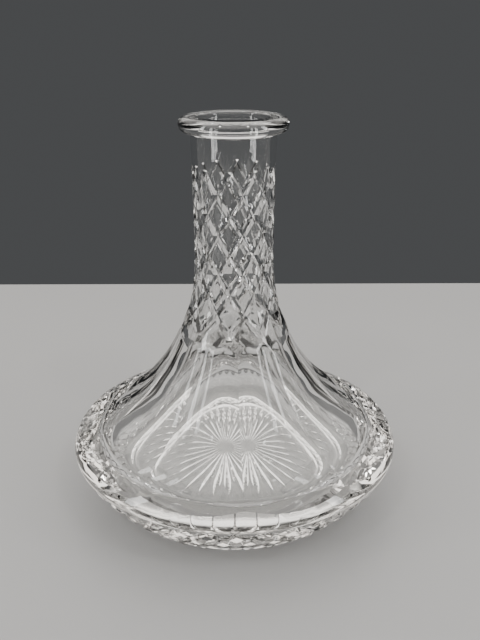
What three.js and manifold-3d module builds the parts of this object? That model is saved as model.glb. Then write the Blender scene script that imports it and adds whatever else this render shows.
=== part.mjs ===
// Cut glass vessel: a flat-topped lip, a long diamond-cut neck, a ten-fluted skirt, a round rim and
// a star-cut base. Millimetres, +Z up, origin at the centre of the foot. The vessel is one piece of
// glass. It is built in the zones that its cutter works in, which meet face to face on level planes.
import * as THREE from 'three';
import { mergeVertices } from 'three/addons/utils/BufferGeometryUtils.js';
import Module from 'manifold-3d';

// Driving dimensions.
const HEIGHT = 258;
const LIP_RADIUS = 34.2;
const LIP_THICKNESS = 9.3;
const LIP_ROUNDING = 4.0;
const BORE_RADIUS = 21.7;
const COLLAR_BOTTOM = 230;

const LATTICE_BOTTOM = 122;
const DIAMONDS_ROUND = 10;
const DIAMOND_HEIGHT = 25.5;
const DIAMOND_AZIMUTH = -5.6;
const GROOVE_DEPTH = 1.9;
const LATTICE_TOP_CROSSING = 227;

const FLUTES = 10;
const ARRIS_AZIMUTH = 3;
const SKIRT_BOTTOM = 47;
const SHOULDER_TOP = 62;
const THROAT_BOTTOM = 84;
const LIMIT_RADIUS = 132;
const PANEL_RUN_OUT = 34.5;
const RIM_BOTTOM = 34;
const BASE_TOP = 26;

const BAND_DIAMONDS_ROUND = 40;
const BAND_DIAMOND_HEIGHT = 16;
const BAND_BOTTOM = 2;
const BAND_AZIMUTH = 0.5;
const BAND_GROOVE_DEPTH = 1.5;

const FOOT_RADIUS = 83.3;
const HOLLOW_RADIUS = 75;
const HOLLOW_HEIGHT = 8;
const STAR_RAYS = 32;
const STAR_RADIUS = 63;
const STAR_CENTRE_RADIUS = 5;
const RAY_HALF_WIDTH = 2.9;
const RAY_DEPTH = 2.4;

const ROUND_SEGMENTS = 60;

// Outer radius at each height of the uncut glass, from the foot to the collar.
const OUTER = [
  [FOOT_RADIUS, 0], [89.1, 3.5], [94.1, 8.5], [100.6, 16], [106.4, 24], [110.7, 31], [113, 36],
  [112, 41], [107.1, SKIRT_BOTTOM], [96.4, 54], [83.2, 62.5], [71.8, 70.5], [62.4, 78.5],
  [54.4, 88], [46.8, 98.5], [40.3, 111], [35.1, LATTICE_BOTTOM], [30.4, 134], [27.7, 147],
  [26, 160], [25.7, 180], [26, 205], [26.3, COLLAR_BOTTOM], [27.1, HEIGHT - LIP_THICKNESS],
];

// Inner wall, from the middle of the flat floor up and out past the mouth.
const INNER = [
  [0, BASE_TOP], [78, BASE_TOP], [85, 28], [89.5, 32.2], [90.5, 37], [88.5, 41.7], [83.2, 46.9],
  [73, 54.4], [63, 62.3], [54, 71.4], [46.7, 81.8], [39.9, 93.2], [33.8, 106], [28.8, 120],
  [25.2, 134], [22.8, 149], [BORE_RADIUS, 163], [BORE_RADIUS, HEIGHT + 5], [0, HEIGHT + 5],
];

const wasm = await Module();
wasm.setup();

// Radius of a polyline profile of [radius, height] points at one height.
function radiusAt(profile, height) {
  const upper = profile.findIndex(([, z]) => z >= height);
  const [r1, z1] = profile[Math.max(upper, 1)];
  const [r0, z0] = profile[Math.max(upper, 1) - 1];
  return r0 + (r1 - r0) * (height - z0) / (z1 - z0);
}

// Points of the uncut outline between two heights, ends included.
function outlineBetween(bottom, top) {
  const inside = OUTER.filter(([, z]) => z > bottom && z < top);
  return [[radiusAt(OUTER, bottom), bottom], ...inside, [radiusAt(OUTER, top), top]];
}

// The positions of a geometry with shared corners merged and collapsed triangles left out.
function sharedCorners(geometry) {
  const bare = geometry.clone();
  bare.deleteAttribute('normal');
  bare.deleteAttribute('uv');
  const merged = mergeVertices(bare, 1e-4);
  const corners = merged.index.array;
  const kept = [];
  for (let i = 0; i < corners.length; i += 3) {
    const [a, b, c] = corners.slice(i, i + 3);
    if (a !== b && b !== c && c !== a) kept.push(a, b, c);
  }
  return { vertProperties: merged.attributes.position.array, triVerts: new Uint32Array(kept) };
}

function solidOf(geometry) {
  return new wasm.Manifold(new wasm.Mesh({ numProp: 3, ...sharedCorners(geometry) }));
}

// A solid turned about +Z from [radius, height] points that start and end on the axis. Its first
// corner line stands at the given azimuth, measured from -Y towards +X.
function turned(points, segments, azimuth = 0) {
  const outline = points.map(([radius, height]) => new THREE.Vector2(radius, height));
  const geometry = new THREE.LatheGeometry(outline, segments);
  geometry.rotateX(Math.PI / 2);
  geometry.rotateZ(THREE.MathUtils.degToRad(azimuth));
  return geometry;
}

// The same outline closed to the axis at both ends.
function closedToAxis(points) {
  const bottom = points[0][1];
  const top = points[points.length - 1][1];
  return [[0, bottom], ...points, [0, top]];
}

// A turned solid with V grooves along both diagonals, which leave pointed diamonds. Its grid has
// two columns and two rows to a diamond: corners where grooves cross lie deep, and the others are
// the diamonds' points. Each cell is split along its groove. Only rows above from and below to are cut.
function latticeCut(points, { around, height, crossing, depth, azimuth, from, to }) {
  const columns = 2 * around;
  const profile = closedToAxis(points);
  const geometry = turned(profile, columns, azimuth);
  const position = geometry.attributes.position;
  const rows = profile.length;
  const isCrossing = (column, row) => {
    const level = Math.round((profile[row][1] - crossing) / (height / 2));
    return (column + level) % 2 === 0;
  };
  for (let column = 0; column <= columns; column += 1) {
    for (let row = 1; row < rows - 1; row += 1) {
      const level = profile[row][1];
      if (level <= from || level >= to || !isCrossing(column, row)) continue;
      const at = column * rows + row;
      const radius = Math.hypot(position.getX(at), position.getY(at));
      const shrink = 1 - depth / radius;
      position.setXY(at, position.getX(at) * shrink, position.getY(at) * shrink);
    }
  }
  const corners = [];
  for (let column = 0; column < columns; column += 1) {
    for (let row = 0; row < rows - 1; row += 1) {
      const a = column * rows + row;
      const [b, c, d] = [a + rows, a + rows + 1, a + 1];
      const alongGroove = isCrossing(column, row) ? [a, b, c, c, d, a] : [a, b, d, c, d, b];
      corners.push(...alongGroove);
    }
  }
  geometry.setIndex(corners);
  return geometry;
}

// Heights of the lattice's rows between two levels, as points of the uncut outline.
function latticeRows(bottom, top, crossing, height) {
  const step = height / 2;
  const first = crossing + step * Math.ceil((bottom - crossing) / step + 0.1);
  const rows = [[radiusAt(OUTER, bottom), bottom]];
  for (let z = first; z < top - step * 0.1; z += step) rows.push([radiusAt(OUTER, z), z]);
  rows.push([radiusAt(OUTER, top), top]);
  return rows;
}

// A ten-sided solid whose corners, the arrises between the flutes, follow the given points.
function tenSided(points) {
  return solidOf(turned(closedToAxis(points), FLUTES, ARRIS_AZIMUTH));
}

// Height of the recessed underside above the foot, at a radius: nearly level, then curving down.
function hollowAt(radius) {
  return HOLLOW_HEIGHT * (1 - (radius / HOLLOW_RADIUS) ** 6);
}

// The recess under the floor, which leaves a flat foot ring round it.
function underHollow() {
  const recess = [[0, -1], [HOLLOW_RADIUS, -1]];
  const steps = 12;
  for (let i = 0; i <= steps; i += 1) {
    const radius = HOLLOW_RADIUS * (1 - i / steps);
    recess.push([radius, hollowAt(radius)]);
  }
  return solidOf(turned(recess, ROUND_SEGMENTS));
}

// One mitre cut of the star: a long V that is widest and deepest some way out and runs to a point
// at each end. It follows the hollow, and reaches below the foot so that it cuts clean through.
function starRay(azimuth) {
  const below = 1;
  const middle = STAR_RADIUS * 0.62;
  const keel = hollowAt(middle) + RAY_DEPTH;
  const widest = RAY_HALF_WIDTH * (keel + below) / RAY_DEPTH;
  const shape = new THREE.Shape([
    new THREE.Vector2(STAR_CENTRE_RADIUS, 0), new THREE.Vector2(middle, -widest),
    new THREE.Vector2(STAR_RADIUS, 0), new THREE.Vector2(middle, widest),
  ]);
  const geometry = new THREE.ExtrudeGeometry(shape, { depth: below, bevelEnabled: false });
  const position = geometry.attributes.position;
  for (let i = 0; i < position.count; i += 1) {
    if (position.getZ(i) === 0) {
      position.setZ(i, -below);
      continue;
    }
    const atTip = position.getY(i) === 0;
    position.setZ(i, atTip ? hollowAt(position.getX(i)) : keel);
    position.setY(i, 0);
  }
  geometry.rotateZ(THREE.MathUtils.degToRad(azimuth));
  return solidOf(geometry);
}

const cavity = solidOf(turned(INNER, ROUND_SEGMENTS));

function lipRing() {
  const bottom = HEIGHT - LIP_THICKNESS;
  const outline = [[LIP_RADIUS - LIP_ROUNDING, bottom]];
  const steps = 6;
  for (let i = 0; i <= steps; i += 1) {
    const angle = Math.PI * (i / steps - 0.5);
    const lift = (1 + Math.sin(angle)) / 2;
    outline.push([LIP_RADIUS - LIP_ROUNDING * (1 - Math.cos(angle)), bottom + LIP_THICKNESS * lift]);
  }
  return solidOf(turned(closedToAxis(outline.slice(1)), ROUND_SEGMENTS)).subtract(cavity);
}

function neckCollar() {
  const outline = outlineBetween(COLLAR_BOTTOM, HEIGHT - LIP_THICKNESS);
  return solidOf(turned(closedToAxis(outline), ROUND_SEGMENTS)).subtract(cavity);
}

function latticeNeck() {
  const rows = latticeRows(LATTICE_BOTTOM, COLLAR_BOTTOM, LATTICE_TOP_CROSSING, DIAMOND_HEIGHT);
  const cut = latticeCut(rows, {
    around: DIAMONDS_ROUND,
    height: DIAMOND_HEIGHT,
    crossing: LATTICE_TOP_CROSSING,
    depth: GROOVE_DEPTH,
    azimuth: DIAMOND_AZIMUTH,
    from: LATTICE_BOTTOM,
    to: COLLAR_BOTTOM,
  });
  return solidOf(cut).subtract(cavity);
}

function flutedZone(bottom, top) {
  return tenSided(outlineBetween(bottom, top)).subtract(cavity);
}

// The round rim. The skirt's flat panels run straight on into it and leave in tongue-shaped ends.
function roundRim() {
  const outline = closedToAxis(outlineBetween(RIM_BOTTOM, SKIRT_BOTTOM));
  const round = solidOf(turned(outline, ROUND_SEGMENTS));
  const panelsRunOn = tenSided([
    [LIMIT_RADIUS, RIM_BOTTOM],
    [LIMIT_RADIUS, PANEL_RUN_OUT],
    [radiusAt(OUTER, SKIRT_BOTTOM), SKIRT_BOTTOM],
  ]);
  return round.intersect(panelsRunOn).subtract(cavity);
}

// Part of the undercut wall below the rim, cut with two rows of diamonds.
function diamondWall(bottom, top) {
  const rows = latticeRows(bottom, top, BAND_BOTTOM, BAND_DIAMOND_HEIGHT);
  const cut = latticeCut(rows, {
    around: BAND_DIAMONDS_ROUND,
    height: BAND_DIAMOND_HEIGHT,
    crossing: BAND_BOTTOM,
    depth: BAND_GROOVE_DEPTH,
    azimuth: BAND_AZIMUTH,
    from: BAND_BOTTOM,
    to: RIM_BOTTOM,
  });
  return solidOf(cut).subtract(cavity);
}

function starBase() {
  let base = diamondWall(0, BASE_TOP).subtract(underHollow());
  for (let ray = 0; ray < STAR_RAYS; ray += 1) {
    base = base.subtract(starRay(360 * (ray + 0.5) / STAR_RAYS));
  }
  return base;
}

// A named mesh of clear glass from a solid.
function glassMesh(name, solid, color) {
  const { vertProperties, triVerts } = solid.getMesh();
  const geometry = new THREE.BufferGeometry();
  geometry.setAttribute('position', new THREE.BufferAttribute(new Float32Array(vertProperties), 3));
  geometry.setIndex(new THREE.BufferAttribute(new Uint32Array(triVerts), 1));
  geometry.computeVertexNormals();
  const material = new THREE.MeshStandardMaterial({
    color, roughness: 0.03, metalness: 0, transparent: true, opacity: 0.35,
  });
  const mesh = new THREE.Mesh(geometry, material);
  mesh.name = name;
  return mesh;
}

const vessel = new THREE.Group();
vessel.add(glassMesh('lip_ring', lipRing(), 0xf4f7f6));
vessel.add(glassMesh('neck_collar', neckCollar(), 0xf1f5f4));
vessel.add(glassMesh('lattice_neck', latticeNeck(), 0xeef3f2));
vessel.add(glassMesh('fluted_throat', flutedZone(THROAT_BOTTOM, LATTICE_BOTTOM), 0xf1f5f4));
vessel.add(glassMesh('fluted_skirt', flutedZone(SHOULDER_TOP, THROAT_BOTTOM), 0xeff4f3));
vessel.add(glassMesh('fluted_shoulder', flutedZone(SKIRT_BOTTOM, SHOULDER_TOP), 0xf1f5f4));
vessel.add(glassMesh('round_rim', roundRim(), 0xeef3f2));
vessel.add(glassMesh('lattice_band', diamondWall(BASE_TOP, RIM_BOTTOM), 0xf1f5f4));
vessel.add(glassMesh('star_base', starBase(), 0xf4f7f6));

export default vessel;
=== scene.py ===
"""Looks for the cut glass vessel: one continuous skin of clear crystal, cut with diamonds, flutes,
an under-rim lattice and a star, on a plain table top. The glass is laid out in millimetres, and the
table, lights and camera in metres."""

import math

import bpy
import numpy as np
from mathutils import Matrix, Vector


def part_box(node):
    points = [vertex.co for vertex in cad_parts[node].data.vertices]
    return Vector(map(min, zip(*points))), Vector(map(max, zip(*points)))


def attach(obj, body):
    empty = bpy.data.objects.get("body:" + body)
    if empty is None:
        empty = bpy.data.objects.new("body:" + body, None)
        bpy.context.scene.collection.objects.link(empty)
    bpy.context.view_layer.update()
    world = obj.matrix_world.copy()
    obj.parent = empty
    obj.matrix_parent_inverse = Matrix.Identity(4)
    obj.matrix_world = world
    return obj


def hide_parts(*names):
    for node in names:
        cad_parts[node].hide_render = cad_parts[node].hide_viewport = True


MM = 0.001

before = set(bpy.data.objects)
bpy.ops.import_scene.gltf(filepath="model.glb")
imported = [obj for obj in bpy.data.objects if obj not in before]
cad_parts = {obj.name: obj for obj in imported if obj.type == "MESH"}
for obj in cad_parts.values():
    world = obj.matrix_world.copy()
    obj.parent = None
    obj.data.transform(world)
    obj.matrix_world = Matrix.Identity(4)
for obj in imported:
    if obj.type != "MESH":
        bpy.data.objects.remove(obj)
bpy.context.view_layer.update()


def node_span(node):
    """Lowest and highest z of a CAD node, and its greatest radius along X, in millimetres."""
    low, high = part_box(node)
    return low.z / MM, high.z / MM, high.x / MM


# Heights and radii taken from the frame.
LIP_BOTTOM, HEIGHT, LIP_RADIUS = node_span("lip_ring")
COLLAR_BOTTOM = node_span("neck_collar")[0]
SKIRT_BOTTOM = node_span("fluted_shoulder")[0]
BAND_TOP = node_span("round_rim")[0]
RIM_RADIUS = node_span("round_rim")[2]
FLOOR_TOP = node_span("star_base")[1]

# Neck lattice.
DIAMONDS = 10
DIAMOND_HEIGHT = 25.5
LATTICE_LOW = 125.0
LATTICE_HIGH = LATTICE_LOW + 4 * DIAMOND_HEIGHT
LATTICE_AZIMUTH = -5.6
STEPS_PER_DIAMOND = 16
NECK_GROOVE_DEPTH = 1.7
NECK_GROOVE_WIDTH = 0.15

# Skirt flutes.
FLUTES = 10
ARRIS_AZIMUTH = 3.0
COLUMNS_PER_FLUTE = 24
FLUTE_HOLLOW = 0.012
FLUTE_TOP = 121.0
FLUTE_ROUND_TOP = 9.0
FLUTE_TOP_LIFT = 3.4
PANEL_SLOPE = 3.2
LEVEL_FROM = 58.0
RIM_ROWS = 8
TONGUE_ROWS = 9
PANEL_ROWS = 36
RUN_OUT_STEPS = 200

# Lattice band under the rim.
BAND_CELLS = 40
BAND_ROWS = 2
STEPS_PER_CELL = 8
BAND_LOW = 2.0
BAND_AZIMUTH = 0.5
BAND_GROOVE_DEPTH = 1.6
BAND_GROOVE_WIDTH = 0.25
RIM_ROUND_BOTTOM = 34.8

# Star under the floor.
STAR_RAYS = 32
STAR_RADIUS = 63.0
STAR_CENTRE = 4.5
RAY_WIDEST_AT = 0.66
RAY_FILL = 0.74
RAY_STEEPNESS = 0.85
RAY_OPENING = 6.0
RAY_TIP_POWER = 1.6
RAY_LEAST_HALF = 0.04
STAR_MIDDLE = 12.0
COLUMNS_PER_RAY = 6
FOOT_RADIUS = 83.3
HOLLOW_RADIUS = 75.0
HOLLOW_HEIGHT = 8.0

# Foot, floor and bore.
FOOT_BEVEL_WIDTH = 1.5
FOOT_BEVEL_HEIGHT = 0.15
UNDERSIDE_STEP = 2.0
FLOOR_RADII = (45.0, 30.0, 15.0)
BORE_RADIUS = 21.7
BORE_LOW = 176.0
BORE_ROWS = 10

# Lip and collar.
LIP_ROUNDING = 4.0
LIP_UNDERSIDE = 1.5
LIP_STEPS = 20
MOUTH_ROUNDING = 1.4
MOUTH_STEPS = 6
MOUTH_WALL_START = 8.0
COLLAR_FILLET = 1.2
COLLAR_CLEARANCE = 4.0
COLLAR_ROWS = 6
FILLET_STEPS = 4

SMOOTH_ANGLE = 14

# Outer outline of the uncut glass, foot to collar, as [radius, height].
OUTER = np.array([
    [FOOT_RADIUS, 0.0], [89.1, 3.5], [94.1, 8.5], [100.6, 16.0], [106.4, 24.0], [110.7, 31.0],
    [RIM_RADIUS, 36.0], [112.0, 41.0], [107.1, SKIRT_BOTTOM], [96.4, 54.0], [83.2, 62.5],
    [71.8, 70.5], [62.4, 78.5], [54.4, 88.0], [46.8, 98.5], [40.3, 111.0], [35.1, 122.0],
    [30.4, 134.0], [27.7, 147.0], [26.0, 160.0], [25.7, 180.0], [26.0, 205.0],
    [26.3, COLLAR_BOTTOM], [27.1, LIP_BOTTOM],
])

# Inner wall from the bore down to the flat floor.
INNER = np.array([
    [BORE_RADIUS, 168.0], [BORE_RADIUS, 163.0], [22.8, 149.0], [25.2, 134.0], [28.8, 120.0],
    [33.8, 106.0], [39.9, 93.2], [46.7, 81.8], [54.0, 71.4], [63.0, 62.3], [73.0, 54.4],
    [83.2, 46.9], [88.5, 41.7], [90.5, 37.0], [89.5, 32.2], [85.0, 28.0], [78.0, FLOOR_TOP],
    [60.0, FLOOR_TOP],
])


def spline(points, per_span):
    """A smooth curve through the points, by Catmull-Rom, with per_span steps between each pair."""
    ends = [2 * points[0] - points[1], *points, 2 * points[-1] - points[-2]]
    curve = []
    for p0, p1, p2, p3 in zip(ends, ends[1:], ends[2:], ends[3:]):
        for t in np.arange(per_span) / per_span:
            a = 2 * p1 + (p2 - p0) * t
            b = (2 * p0 - 5 * p1 + 4 * p2 - p3) * t**2
            c = (3 * p1 - p0 - 3 * p2 + p3) * t**3
            curve.append((a + b + c) / 2)
    return np.array([*curve, points[-1]])


OUTER_CURVE = spline(OUTER, 12)


def blank_radius(z):
    """Outer radius of the uncut glass at height z."""
    return np.interp(z, OUTER_CURVE[:, 1], OUTER_CURVE[:, 0])


class Skin:
    """The closed glass surface, grown ring by ring from the middle of the foot, up the outside,
    over the lip and down the inside. Rings run anticlockwise seen from above."""

    def __init__(self):
        self.points = []
        self.faces = []
        self.last = None

    def add_points(self, points):
        first = len(self.points)
        self.points.extend(points)
        return list(range(first, first + len(points)))

    def start(self, centre, ring):
        middle = self.add_points([centre])[0]
        self.last = self.add_points(ring)
        for a, b in zip(self.last, self.last[1:] + self.last[:1]):
            self.faces.append((middle, b, a))

    def close(self, centre):
        middle = self.add_points([centre])[0]
        for a, b in zip(self.last, self.last[1:] + self.last[:1]):
            self.faces.append((a, b, middle))

    def add_ring(self, ring, falling=None):
        """Joins a ring of as many points as the last. falling says, cell by cell, which diagonal
        splits it, and None leaves it whole."""
        new = self.add_points(ring)
        count = len(new)
        if count != len(self.last):
            self.stitch(new, ring)
            return
        for i in range(count):
            j = (i + 1) % count
            a, b, c, d = self.last[i], self.last[j], new[j], new[i]
            if falling is None:
                self.faces.append((a, b, c, d))
            elif falling[i]:
                self.faces.extend([(a, b, d), (b, c, d)])
            else:
                self.faces.extend([(a, b, c), (a, c, d)])
        self.last = new

    def stitch(self, new, ring):
        """Joins two rings of different counts by walking both round together."""
        old_angles = azimuths([self.points[i] for i in self.last])
        new_angles = azimuths(ring)
        old_start, new_start = int(np.argmin(old_angles)), int(np.argmin(new_angles))
        old = np.roll(self.last, -old_start).tolist()
        fresh = np.roll(new, -new_start).tolist()
        old_at = np.append(np.roll(old_angles, -old_start), 2 * math.pi + old_angles.min())
        new_at = np.append(np.roll(new_angles, -new_start), 2 * math.pi + new_angles.min())
        i = j = 0
        while i < len(old) or j < len(fresh):
            a, b = old[i % len(old)], fresh[j % len(fresh)]
            if j == len(fresh) or (i < len(old) and old_at[i + 1] <= new_at[j + 1]):
                i += 1
                self.faces.append((a, old[i % len(old)], b))
            else:
                j += 1
                self.faces.append((a, fresh[j % len(fresh)], b))
        self.last = new


def azimuths(points):
    """Angle of each point round the axis, from -Y towards +X, in 0 to 2 pi."""
    at = np.asarray(points)
    return np.arctan2(at[:, 0], -at[:, 1]) % (2 * math.pi)


def ring_points(angles, radii, heights):
    radii = np.broadcast_to(radii, angles.shape)
    heights = np.broadcast_to(heights, angles.shape)
    return np.stack([radii * np.sin(angles), -radii * np.cos(angles), heights], axis=1).tolist()


def even_angles(count, azimuth=0.0):
    return math.radians(azimuth) + np.arange(count) * 2 * math.pi / count


def off_line(phase):
    """How far a phase is from the nearest whole number, 0 to 0.5."""
    return np.abs(phase - np.round(phase))


def ray_half_width(radius):
    """Half the width of a star ray at a radius: it widens with the star, then closes to a point."""
    widest = RAY_WIDEST_AT * STAR_RADIUS
    grow = RAY_FILL * math.pi * radius / STAR_RAYS
    if radius <= widest:
        return grow * min(1.0, max(0.0, radius - STAR_CENTRE) / RAY_OPENING)
    share = (radius - widest) / (STAR_RADIUS - widest)
    return RAY_FILL * math.pi * widest / STAR_RAYS * (1 - share**RAY_TIP_POWER)


def hollow_height(radius):
    """Height of the recessed underside above the foot."""
    return HOLLOW_HEIGHT * max(0.0, 1 - (radius / HOLLOW_RADIUS) ** 6)


def star_rings():
    """Rings of the star-cut underside. Each ray has columns on its keel, on its edges and between."""
    radii = np.concatenate([
        np.linspace(STAR_CENTRE, STAR_MIDDLE, 5, endpoint=False),
        np.linspace(STAR_MIDDLE, STAR_RADIUS, 26),
    ])
    sector = 2 * math.pi / STAR_RAYS
    for radius in radii:
        half = max(ray_half_width(radius), RAY_LEAST_HALF)
        edge = half / radius
        depth = half * RAY_STEEPNESS if half > RAY_LEAST_HALF else 0.0
        offsets = np.array([-sector / 2, -edge, -edge / 2, 0.0, edge / 2, edge])
        heights = np.array([0.0, 0.0, depth / 2, depth, depth / 2, 0.0])
        angles = (np.arange(STAR_RAYS)[:, None] * sector + offsets).ravel()
        yield ring_points(angles, radius, np.tile(heights, STAR_RAYS) + hollow_height(radius))


def band_rings():
    """Rings of the diamond lattice that runs round the lower wall."""
    columns = BAND_CELLS * STEPS_PER_CELL
    angles = even_angles(columns, BAND_AZIMUTH)
    index = np.arange(columns)
    last = BAND_ROWS * STEPS_PER_CELL
    step = (BAND_TOP - BAND_LOW) / last
    for row in range(last + 1):
        z = BAND_LOW + row * step
        depth, falling = groove_depths(index, row, STEPS_PER_CELL, BAND_GROOVE_WIDTH)
        ends = min(row, last - row, 1)
        radius = blank_radius(z) - BAND_GROOVE_DEPTH * depth * ends
        yield ring_points(angles, radius, z), falling


def groove_depths(column, row, steps, width):
    """How deep, 0 to 1, two crossing sets of V grooves are at the grid's corners of a row, and the
    diagonal that follows the nearer groove in each cell above it."""
    rising = (column - row) / steps
    falling = (column + row) / steps
    nearest = np.minimum(off_line(rising), off_line(falling))
    depth = np.clip(1 - nearest / width, 0, 1)
    cell_rising = off_line((column - row) / steps)
    cell_falling = off_line((column + row + 1) / steps)
    return depth, cell_falling < cell_rising


def flute_shape(angles, z, arris):
    """Radius of the ten panels at height z, for a given radius at the arrises."""
    pitch = 2 * math.pi / FLUTES
    phase = (angles - math.radians(ARRIS_AZIMUTH)) / pitch
    from_middle = (phase - np.floor(phase) - 0.5) * pitch
    flat = arris * math.cos(pitch / 2) / np.cos(from_middle)
    hollow = FLUTE_HOLLOW * arris * (1 - (2 * from_middle / pitch) ** 2)
    return flat - hollow


def run_out(angles):
    """Height at which each column's panel meets the round rim, the edge of a flute's tongue."""
    heights = np.linspace(RIM_ROUND_BOTTOM + 0.5, SKIRT_BOTTOM, RUN_OUT_STEPS)
    edge = np.full(angles.shape, SKIRT_BOTTOM)
    for z in heights[::-1]:
        arris = blank_radius(SKIRT_BOTTOM) + (SKIRT_BOTTOM - z) * PANEL_SLOPE
        inside = flute_shape(angles, z, arris) < blank_radius(z)
        edge = np.where(inside & (edge > z), z, edge)
    return edge


def skirt_radius(angles, z):
    """Outer radius of the fluted glass at height z, which may vary from column to column."""
    arris = np.where(
        z < SKIRT_BOTTOM,
        blank_radius(SKIRT_BOTTOM) + (SKIRT_BOTTOM - z) * PANEL_SLOPE,
        blank_radius(z),
    )
    panel = flute_shape(angles, z, arris)
    lift = np.clip((z - (FLUTE_TOP - FLUTE_ROUND_TOP)) / FLUTE_ROUND_TOP, 0, 1)
    panel = panel + lift**2 * FLUTE_TOP_LIFT
    return np.minimum(panel, blank_radius(z))


def rim_and_skirt_rings():
    """Rings of the round rim, then of the flutes' tongues, then level ones up to the flutes' tops."""
    angles = even_angles(FLUTES * COLUMNS_PER_FLUTE, ARRIS_AZIMUTH)
    tongue = run_out(angles)
    for row in range(RIM_ROWS):
        z = RIM_ROUND_BOTTOM + (tongue - RIM_ROUND_BOTTOM) * row / RIM_ROWS
        yield ring_points(angles, blank_radius(z), z)
    for row in range(TONGUE_ROWS):
        z = tongue + (LEVEL_FROM - tongue) * row / TONGUE_ROWS
        yield ring_points(angles, skirt_radius(angles, z), z)
    for z in np.linspace(LEVEL_FROM, FLUTE_TOP, PANEL_ROWS):
        yield ring_points(angles, skirt_radius(angles, np.full(angles.shape, z)), z)


def neck_rings():
    """Rings of the neck, from just under its diamonds to just above them."""
    columns = DIAMONDS * STEPS_PER_DIAMOND
    angles = even_angles(columns, LATTICE_AZIMUTH)
    index = np.arange(columns)
    step = DIAMOND_HEIGHT / STEPS_PER_DIAMOND
    last = round((LATTICE_HIGH - LATTICE_LOW) / step)
    for row in range(-1, last + 2):
        z = LATTICE_LOW + row * step
        depth, falling = groove_depths(index, row, STEPS_PER_DIAMOND, NECK_GROOVE_WIDTH)
        if not 0 <= row <= last:
            depth = np.zeros(columns)
        yield ring_points(angles, blank_radius(z) - NECK_GROOVE_DEPTH * depth, z), falling


def arc_points(centre_radius, centre_height, radius, start, end, steps):
    """Points of an arc in the outline's plane, angles in degrees from outwards towards up."""
    for angle in np.radians(np.linspace(start, end, steps + 1)):
        yield (
            centre_radius + radius[0] * math.cos(angle),
            centre_height + radius[1] * math.sin(angle),
        )


def lip_outline():
    """The lip from under its overhang, round its edge and over to the mouth."""
    middle = (HEIGHT + LIP_BOTTOM) / 2
    half = (HEIGHT - LIP_BOTTOM) / 2
    edge = LIP_RADIUS - LIP_ROUNDING
    yield edge - LIP_UNDERSIDE, LIP_BOTTOM
    yield from arc_points(edge, middle, (LIP_ROUNDING, half), -90, 90, LIP_STEPS)
    yield (LIP_RADIUS + BORE_RADIUS) / 2 + 0.5, HEIGHT
    yield BORE_RADIUS + MOUTH_ROUNDING + 1.0, HEIGHT
    rounding = (MOUTH_ROUNDING, MOUTH_ROUNDING)
    centre = BORE_RADIUS + MOUTH_ROUNDING
    yield from arc_points(centre, HEIGHT - MOUTH_ROUNDING, rounding, 90, 180, MOUTH_STEPS)


def add_cut_rings(skin, rings):
    """Adds rings that come with the diagonals of the cells above them."""
    falling = None
    for ring, next_falling in rings:
        skin.add_ring(ring, falling)
        falling = next_falling


def add_underside(skin):
    """The star, the recess round it and the foot that the vessel stands on."""
    star = star_rings()
    skin.start([0.0, 0.0, HOLLOW_HEIGHT], next(star))
    for ring in star:
        skin.add_ring(ring)
    plain = even_angles(STAR_RAYS * COLUMNS_PER_RAY)
    recess = np.arange(STAR_RADIUS + UNDERSIDE_STEP, HOLLOW_RADIUS + 1, UNDERSIDE_STEP)
    for radius in (*recess, FOOT_RADIUS - FOOT_BEVEL_WIDTH):
        skin.add_ring(ring_points(plain, radius, hollow_height(radius)))
    skin.add_ring(ring_points(plain, FOOT_RADIUS, FOOT_BEVEL_HEIGHT))


def add_collar_and_lip(skin, angles):
    below_lip = LIP_BOTTOM - COLLAR_FILLET
    for z in np.linspace(LATTICE_HIGH + COLLAR_CLEARANCE, below_lip, COLLAR_ROWS):
        skin.add_ring(ring_points(angles, blank_radius(z), z))
    centre = blank_radius(LIP_BOTTOM) + COLLAR_FILLET
    rounding = (COLLAR_FILLET, COLLAR_FILLET)
    fillet = arc_points(centre, below_lip, rounding, 180, 90, FILLET_STEPS)
    for radius, z in [*list(fillet)[1:], *lip_outline()]:
        skin.add_ring(ring_points(angles, radius, z))


def add_inside(skin, angles):
    """The bore, the inner wall and the floor."""
    for z in np.linspace(HEIGHT - MOUTH_WALL_START, BORE_LOW, BORE_ROWS):
        skin.add_ring(ring_points(angles, BORE_RADIUS, z))
    for radius, z in spline(INNER, 4):
        skin.add_ring(ring_points(angles, radius, z))
    for radius in FLOOR_RADII:
        skin.add_ring(ring_points(angles, radius, FLOOR_TOP))
    skin.close([0.0, 0.0, FLOOR_TOP])


def build_skin():
    skin = Skin()
    add_underside(skin)
    add_cut_rings(skin, band_rings())
    for ring in rim_and_skirt_rings():
        skin.add_ring(ring)
    add_cut_rings(skin, neck_rings())
    round_angles = even_angles(DIAMONDS * STEPS_PER_DIAMOND, LATTICE_AZIMUTH)
    add_collar_and_lip(skin, round_angles)
    add_inside(skin, round_angles)
    return skin


def build_vessel():
    skin = build_skin()
    mesh = bpy.data.meshes.new("cut_glass_vessel")
    mesh.from_pydata((np.array(skin.points) * MM).tolist(), [], skin.faces)
    mesh.validate()
    mesh.shade_smooth()
    mesh.set_sharp_from_angle(angle=math.radians(SMOOTH_ANGLE))
    vessel = bpy.data.objects.new("cut_glass_vessel", mesh)
    bpy.context.scene.collection.objects.link(vessel)
    return vessel


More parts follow.
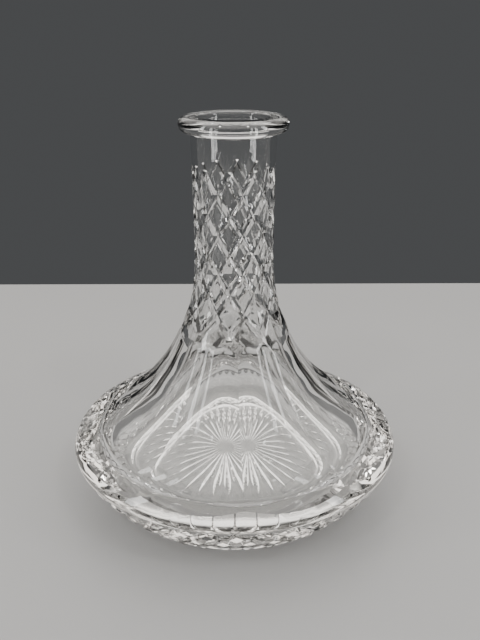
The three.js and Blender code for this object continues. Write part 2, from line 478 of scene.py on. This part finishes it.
def crystal_material():
    """Clear polished glass: very slightly uneven, and faintly warm where it is thick."""
    material = bpy.data.materials.new("clear_crystal")
    material.use_nodes = True
    nodes, links = material.node_tree.nodes, material.node_tree.links
    glass = nodes["Principled BSDF"]
    glass.inputs["Base Color"].default_value = (0.985, 0.988, 0.985, 1)
    glass.inputs["Transmission Weight"].default_value = 1.0
    glass.inputs["IOR"].default_value = 1.53
    glass.inputs["Roughness"].default_value = 0.0
    place = nodes.new("ShaderNodeTexCoord")
    waves = nodes.new("ShaderNodeTexNoise")
    waves.inputs["Scale"].default_value = 38.0
    waves.inputs["Detail"].default_value = 2.0
    bump = nodes.new("ShaderNodeBump")
    bump.inputs["Strength"].default_value = 0.12
    bump.inputs["Distance"].default_value = 0.0006
    links.new(place.outputs["Object"], waves.inputs["Vector"])
    links.new(waves.outputs["Fac"], bump.inputs["Height"])
    links.new(bump.outputs["Normal"], glass.inputs["Normal"])
    body = nodes.new("ShaderNodeVolumeAbsorption")
    body.inputs["Color"].default_value = (0.95, 0.9, 0.84, 1)
    body.inputs["Density"].default_value = 3.5
    output = nodes["Material Output"]
    links.new(body.outputs["Volume"], output.inputs["Volume"])
    return material


def plain_material(name, color, roughness):
    material = bpy.data.materials.new(name)
    material.use_nodes = True
    nodes, links = material.node_tree.nodes, material.node_tree.links
    surface = nodes["Principled BSDF"]
    grain = nodes.new("ShaderNodeTexNoise")
    grain.inputs["Scale"].default_value = 9.0
    tint = nodes.new("ShaderNodeValToRGB")
    tint.color_ramp.elements[0].color = (*[c * 0.95 for c in color], 1)
    tint.color_ramp.elements[1].color = (*color, 1)
    links.new(grain.outputs["Fac"], tint.inputs["Fac"])
    links.new(tint.outputs["Color"], surface.inputs["Base Color"])
    surface.inputs["Roughness"].default_value = roughness
    return material


def plane(name, corners, material):
    mesh = bpy.data.meshes.new(name)
    mesh.from_pydata(corners, [], [tuple(range(len(corners)))])
    mesh.materials.append(material)
    card = bpy.data.objects.new(name, mesh)
    bpy.context.scene.collection.objects.link(card)
    return card


def add_stage():
    """A plain table top that ends behind the vessel, so the neck stands against dark surroundings."""
    top = plain_material("floor", (0.22, 0.22, 0.22), 0.5)
    below = -0.0004
    reach = 0.42
    wide = 1.3
    corners = [(-wide, -wide), (wide, -wide), (wide, reach), (-wide, reach)]
    plane("floor", [(x, y, below) for x, y in corners], top)


def area_light(name, location, aim, size, power, color):
    data = bpy.data.lights.new(name, "AREA")
    data.shape = "RECTANGLE"
    data.size, data.size_y = size
    data.energy = power
    data.color = color
    light = bpy.data.objects.new(name, data)
    light.location = location
    light.rotation_euler = (Vector(aim) - light.location).to_track_quat("-Z", "Y").to_euler()
    bpy.context.scene.collection.objects.link(light)


def add_world():
    """A studio that is dark near the horizon and softly bright overhead."""
    world = bpy.data.worlds.new("studio")
    world.use_nodes = True
    nodes, links = world.node_tree.nodes, world.node_tree.links
    place = nodes.new("ShaderNodeTexCoord")
    split = nodes.new("ShaderNodeSeparateXYZ")
    ramp = nodes.new("ShaderNodeValToRGB")
    shades = ramp.color_ramp.elements
    shades[0].position = 0.2
    shades[0].color = (0.03, 0.031, 0.032, 1)
    shades[1].position = 0.5
    shades[1].color = (1.0, 0.97, 0.93, 1)
    background = nodes["Background"]
    background.inputs["Strength"].default_value = 2.4
    links.new(place.outputs["Generated"], split.inputs["Vector"])
    links.new(split.outputs["Z"], ramp.inputs["Fac"])
    links.new(ramp.outputs["Color"], background.inputs["Color"])
    bpy.context.scene.world = world


def add_lights():
    white = (1.0, 1.0, 1.0)
    area_light("window_left", (-0.36, -0.6, 0.95), (0, 0, 0.05), (0.07, 0.07), 2, white)
    area_light("window_right", (0.38, -0.5, 0.95), (0, 0, 0.05), (0.07, 0.07), 2, white)
    area_light("strip_left", (-0.75, -0.35, 0.4), (0, 0, 0.15), (0.12, 0.6), 2.5, white)
    area_light("strip_right", (0.75, -0.35, 0.4), (0, 0, 0.15), (0.12, 0.6), 2.5, white)


def add_camera():
    data = bpy.data.cameras.new("camera")
    data.lens = 41.32
    data.dof.use_dof = False
    camera = bpy.data.objects.new("camera", data)
    camera.location = (0.0, -0.4609, 0.3135)
    aim = Vector((0.0039, 0.0, 0.1233))
    camera.rotation_euler = (aim - camera.location).to_track_quat("-Z", "Y").to_euler()
    bpy.context.scene.collection.objects.link(camera)
    bpy.context.scene.camera = camera


vessel = build_vessel()
vessel.data.materials.append(crystal_material())
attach(vessel, "root")
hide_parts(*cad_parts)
add_stage()
add_world()
add_lights()
add_camera()
